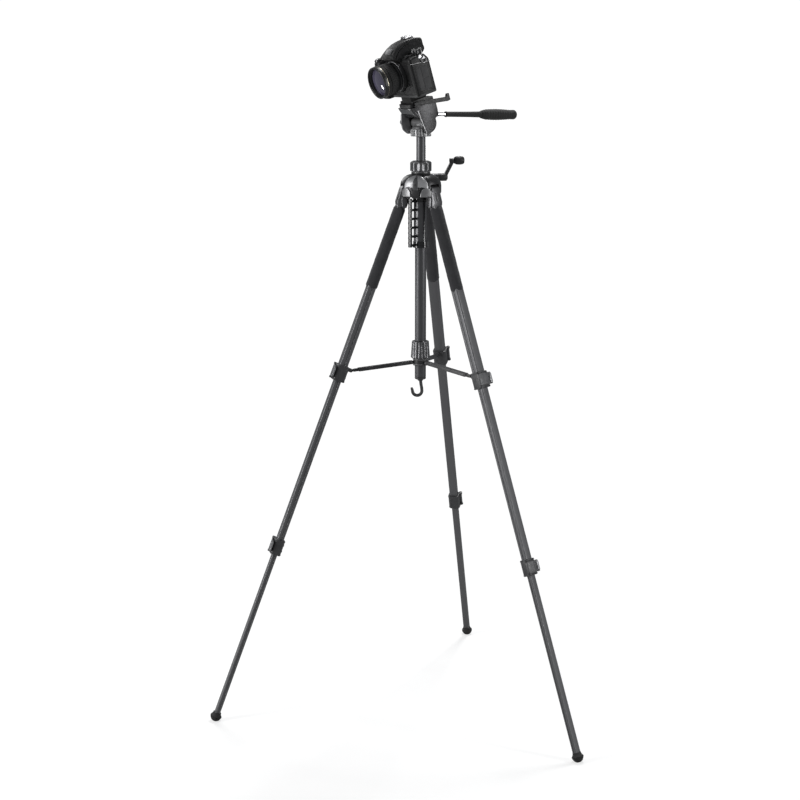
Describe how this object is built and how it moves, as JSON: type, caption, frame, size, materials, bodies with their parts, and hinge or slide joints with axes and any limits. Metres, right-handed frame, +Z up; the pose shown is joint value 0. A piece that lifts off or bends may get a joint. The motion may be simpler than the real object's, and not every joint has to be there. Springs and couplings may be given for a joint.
{
  "type": "camera on tripod",
  "caption": "Single-lens reflex camera with a zoom lens on a three-way pan head, on a folding three-section tripod with a centre column, crank, mid-level spreader and clamp levers.",
  "frame": {"origin": "on the floor, below the middle of the whole object's bounding box", "axes": "+Z up along the centre column; the front of the tripod, as it is stored, faces -Y, with the lens turned 58 degrees from -Y towards -X"},
  "size_m": [0.8206, 0.8206, 1.5169],
  "materials": {
    "tube_grey": "satin anodised",
    "casting_grey": "satin metallic",
    "bright_grey": "satin",
    "black_plastic": "fine satin",
    "gloss_black": "gloss",
    "foam": "matte closed-cell foam",
    "rubber_black": "matte ribbed",
    "lever_grey": "satin",
    "camera_shell": "fine grained satin",
    "door_rubber": "matte",
    "chrome_rod": "polished",
    "silver_button": "satin",
    "lens_black": "satin",
    "lens_glass": "coated"
  },
  "bodies": {
    "frame": {"shoulder_casting": "casting_grey", "shoulder_front_cover": "bright_grey", "fixed_tube": "tube_grey", "carrying_handle": "gloss_black"},
    "hub": {"spreader_hub": "black_plastic"},
    "spreader_collar": {"spreader_lock_collar": "black_plastic"},
    "column": {"centre_column": "tube_grey", "pan_ring": "bright_grey"},
    "column_collar": {"column_lock_collar": "casting_grey"},
    "crank": {"column_crank": "black_plastic"},
    "knob": {"crank_knob": "black_plastic"},
    "hook": {"weight_hook": "black_plastic"},
    "head": {"head_body": "casting_grey"},
    "tilt": {"tilt_frame": "casting_grey", "camera_platform": "black_plastic"},
    "handle": {"pan_handle_rod": "chrome_rod", "pan_handle_grip": "rubber_black"},
    "release": {"release_lever": "black_plastic"},
    "camera": {"quick_release_plate": "rubber_black", "camera_body": "camera_shell", "lens_barrel": "lens_black", "front_glass": "lens_glass"},
    "flash": {"pop_up_flash": "camera_shell"},
    "dial": {"mode_dial": "camera_shell"},
    "shutter": {"shutter_button": "silver_button"},
    "lens_button": {"lens_release_button": "camera_shell"},
    "side_door": {"terminal_cover": "door_rubber"},
    "battery_door_body": {"battery_door": "camera_shell"},
    "zoom": {"zoom_ring": "rubber_black"},
    "focus": {"focus_ring": "rubber_black"},
    "leg_1": {"leg_1_upper_section": "tube_grey", "leg_1_foam_grip": "foam", "leg_1_middle_lock": "black_plastic"},
    "leg_1_upper_clamp": {"leg_1_middle_lever": "lever_grey"},
    "leg_1_middle": {"leg_1_middle_tube": "tube_grey", "leg_1_lower_lock": "black_plastic"},
    "leg_1_lower_clamp": {"leg_1_lower_lever": "lever_grey"},
    "leg_1_lower": {"leg_1_lower_tube": "tube_grey", "leg_1_foot": "rubber_black"},
    "leg_2": {"leg_2_upper_section": "tube_grey", "leg_2_foam_grip": "foam", "leg_2_middle_lock": "black_plastic"},
    "leg_2_upper_clamp": {"leg_2_middle_lever": "lever_grey"},
    "leg_2_middle": {"leg_2_middle_tube": "tube_grey", "leg_2_lower_lock": "black_plastic"},
    "leg_2_lower_clamp": {"leg_2_lower_lever": "lever_grey"},
    "leg_2_lower": {"leg_2_lower_tube": "tube_grey", "leg_2_foot": "rubber_black"},
    "leg_3": {"leg_3_upper_section": "tube_grey", "leg_3_foam_grip": "foam", "leg_3_middle_lock": "black_plastic"},
    "leg_3_upper_clamp": {"leg_3_middle_lever": "lever_grey"},
    "leg_3_middle": {"leg_3_middle_tube": "tube_grey", "leg_3_lower_lock": "black_plastic"},
    "leg_3_lower_clamp": {"leg_3_lower_lever": "lever_grey"},
    "leg_3_lower": {"leg_3_lower_tube": "tube_grey", "leg_3_foot": "rubber_black"},
    "arm_1": {"spreader_arm_1": "tube_grey"},
    "arm_2": {"spreader_arm_2": "tube_grey"},
    "arm_3": {"spreader_arm_3": "tube_grey"}
  },
  "joints": [
    {"name": "leg_1_fold", "type": "hinge", "parent": "frame", "child": "leg_1", "pos_m": [0.02918, -0.07009, 1.184], "axis": [0.2588, -0.9659, 0], "range_deg": [0, 14]},
    {"name": "leg_1_upper_clamp_open", "type": "hinge", "parent": "leg_1", "child": "leg_1_upper_clamp", "pos_m": [-0.13737, -0.09815, 0.77396], "axis": [-0.3411, -0.0914, -0.9356], "range_deg": [0, 80]},
    {"name": "leg_1_middle_slide", "type": "slide", "parent": "leg_1", "child": "leg_1_middle", "axis": [0.3411, 0.0914, 0.9356], "range_m": [0, 0.35]},
    {"name": "leg_1_lower_clamp_open", "type": "hinge", "parent": "leg_1_middle", "child": "leg_1_lower_clamp", "pos_m": [-0.27643, -0.13749, 0.38546], "axis": [-0.3411, -0.0914, -0.9356], "range_deg": [0, 80]},
    {"name": "leg_1_lower_slide", "type": "slide", "parent": "leg_1_middle", "child": "leg_1_lower", "axis": [0.3411, 0.0914, 0.9356], "range_m": [0, 0.35]},
    {"name": "leg_2_fold", "type": "hinge", "parent": "frame", "child": "leg_2", "pos_m": [0.08506, -0.08506, 1.184], "axis": [0.7071, 0.7071, 0], "range_deg": [0, 14]},
    {"name": "leg_2_upper_clamp_open", "type": "hinge", "parent": "leg_2", "child": "leg_2_upper_clamp", "pos_m": [0.19264, -0.21527, 0.77396], "axis": [0.2497, -0.2497, -0.9356], "range_deg": [0, 80]},
    {"name": "leg_2_middle_slide", "type": "slide", "parent": "leg_2", "child": "leg_2_middle", "axis": [-0.2497, 0.2497, 0.9356], "range_m": [0, 0.35]},
    {"name": "leg_2_lower_clamp_open", "type": "hinge", "parent": "leg_2_middle", "child": "leg_2_lower_clamp", "pos_m": [0.29624, -0.31604, 0.38546], "axis": [0.2497, -0.2497, -0.9356], "range_deg": [0, 80]},
    {"name": "leg_2_lower_slide", "type": "slide", "parent": "leg_2_middle", "child": "leg_2_lower", "axis": [-0.2497, 0.2497, 0.9356], "range_m": [0, 0.35]},
    {"name": "leg_3_fold", "type": "hinge", "parent": "frame", "child": "leg_3", "pos_m": [0.07009, -0.02918, 1.184], "axis": [-0.9659, 0.2588, 0], "range_deg": [0, 14]},
    {"name": "leg_3_upper_clamp_open", "type": "hinge", "parent": "leg_3", "child": "leg_3_upper_clamp", "pos_m": [0.12906, 0.12909, 0.77396], "axis": [0.0914, 0.3411, -0.9356], "range_deg": [0, 80]},
    {"name": "leg_3_middle_slide", "type": "slide", "parent": "leg_3", "child": "leg_3_middle", "axis": [-0.0914, -0.3411, 0.9356], "range_m": [0, 0.35]},
    {"name": "leg_3_lower_clamp_open", "type": "hinge", "parent": "leg_3_middle", "child": "leg_3_lower_clamp", "pos_m": [0.16453, 0.26919, 0.38546], "axis": [0.0914, 0.3411, -0.9356], "range_deg": [0, 80]},
    {"name": "leg_3_lower_slide", "type": "slide", "parent": "leg_3_middle", "child": "leg_3_lower", "axis": [-0.0914, -0.3411, 0.9356], "range_m": [0, 0.35]},
    {"name": "spreader_hub_slide", "type": "slide", "parent": "frame", "child": "hub", "axis": [0, 0, 1], "range_m": [0, 0.102]},
    {"name": "spreader_arm_1_swing", "type": "hinge", "parent": "hub", "child": "arm_1", "pos_m": [0.04136, -0.06683, 0.803], "axis": [0.2588, -0.9659, 0], "range_deg": [0, 68.5]},
    {"name": "spreader_arm_2_swing", "type": "hinge", "parent": "hub", "child": "arm_2", "pos_m": [0.07615, -0.07615, 0.803], "axis": [0.7071, 0.7071, 0], "range_deg": [0, 68.5]},
    {"name": "spreader_arm_3_swing", "type": "hinge", "parent": "hub", "child": "arm_3", "pos_m": [0.06683, -0.04136, 0.803], "axis": [-0.9659, 0.2588, 0], "range_deg": [0, 68.5]},
    {"name": "spreader_collar_turn", "type": "hinge", "parent": "hub", "child": "spreader_collar", "pos_m": [0.06145, -0.06145, 0.83], "axis": [0, 0, 1], "range_deg": [-90, 0]},
    {"name": "column_slide", "type": "slide", "parent": "frame", "child": "column", "axis": [0, 0, 1], "range_m": [-0.045, 0.25]},
    {"name": "column_collar_turn", "type": "hinge", "parent": "frame", "child": "column_collar", "pos_m": [0.06145, -0.06145, 1.237], "axis": [0, 0, 1], "range_deg": [-75, 0]},
    {"name": "crank_turn", "type": "hinge", "parent": "frame", "child": "crank", "pos_m": [0.11049, -0.032, 1.211], "axis": [0.9659, 0.2588, 0], "range_deg": [-2130, 390]},
    {"name": "crank_knob_spin", "type": "hinge", "parent": "crank", "child": "knob", "pos_m": [0.14527, -0.02268, 1.247], "axis": [0.9659, 0.2588, 0], "continuous": true},
    {"name": "hook_swivel", "type": "hinge", "parent": "frame", "child": "hook", "pos_m": [0.06145, -0.06145, 0.768], "axis": [0, 0, 1], "continuous": true},
    {"name": "pan", "type": "hinge", "parent": "column", "child": "head", "pos_m": [0.06145, -0.06145, 1.319], "axis": [0, 0, 1], "continuous": true},
    {"name": "tilt", "type": "hinge", "parent": "head", "child": "tilt", "pos_m": [0.06145, -0.06145, 1.3295], "axis": [0.5299, -0.848, 0], "range_deg": [-40, 45]},
    {"name": "pan_handle_twist", "type": "hinge", "parent": "tilt", "child": "handle", "pos_m": [0.08321, -0.04785, 1.34787], "axis": [0.8479, 0.5298, -0.0192], "range_deg": [-90, 0]},
    {"name": "release_lever_swing", "type": "hinge", "parent": "tilt", "child": "release", "pos_m": [0.05375, -0.10517, 1.37047], "axis": [0.255, 0.1593, -0.9537], "range_deg": [0, 50], "stiffness_Nm_per_rad": 0.03, "springref_deg": -17.19},
    {"name": "camera_lift", "type": "slide", "parent": "tilt", "child": "camera", "axis": [-0.255, -0.1593, 0.9537], "range_m": [0, 0.03]},
    {"name": "flash_raise", "type": "hinge", "parent": "camera", "child": "flash", "pos_m": [0.01957, -0.08761, 1.50508], "axis": [-0.5299, 0.848, 0], "range_deg": [0, 55]},
    {"name": "mode_dial_turn", "type": "hinge", "parent": "camera", "child": "dial", "pos_m": [0.05198, -0.12042, 1.48069], "axis": [-0.255, -0.1593, 0.9537], "continuous": true},
    {"name": "shutter_press", "type": "slide", "parent": "camera", "child": "shutter", "axis": [0.255, 0.1593, -0.9537], "range_m": [0, 0.0015], "stiffness_N_per_m": 200, "springref_m": -0.002},
    {"name": "lens_release_press", "type": "slide", "parent": "camera", "child": "lens_button", "axis": [0.8088, 0.5054, 0.3007], "range_m": [0, 0.0015], "stiffness_N_per_m": 200, "springref_m": -0.002},
    {"name": "side_door_open", "type": "hinge", "parent": "camera", "child": "side_door", "pos_m": [0.05477, -0.13978, 1.42158], "axis": [0.255, 0.1593, -0.9537], "range_deg": [0, 100]},
    {"name": "battery_door_open", "type": "hinge", "parent": "camera", "child": "battery_door_body", "pos_m": [-0.00432, -0.02908, 1.38548], "axis": [0.8088, 0.5054, 0.3007], "range_deg": [0, 85]},
    {"name": "zoom_turn", "type": "hinge", "parent": "camera", "child": "zoom", "pos_m": [-0.0113, -0.1069, 1.42199], "axis": [-0.8088, -0.5054, -0.3007], "range_deg": [-35, 35]},
    {"name": "focus_turn", "type": "hinge", "parent": "camera", "child": "focus", "pos_m": [-0.02101, -0.11297, 1.41838], "axis": [-0.8088, -0.5054, -0.3007], "range_deg": [-45, 45]}
  ],
  "couplings": [
    {"joint": "leg_2_fold", "follows": "leg_1_fold", "ratio": 1},
    {"joint": "leg_3_fold", "follows": "leg_1_fold", "ratio": 1},
    {"joint": "spreader_hub_slide", "follows": "leg_1_fold", "m_per_rad": 0.4162},
    {"joint": "spreader_arm_1_swing", "follows": "leg_1_fold", "ratio": 4.887},
    {"joint": "spreader_arm_2_swing", "follows": "leg_1_fold", "ratio": 4.887},
    {"joint": "spreader_arm_3_swing", "follows": "leg_1_fold", "ratio": 4.887},
    {"joint": "crank_turn", "follows": "column_slide", "rad_per_m": -148.16}
  ]
}
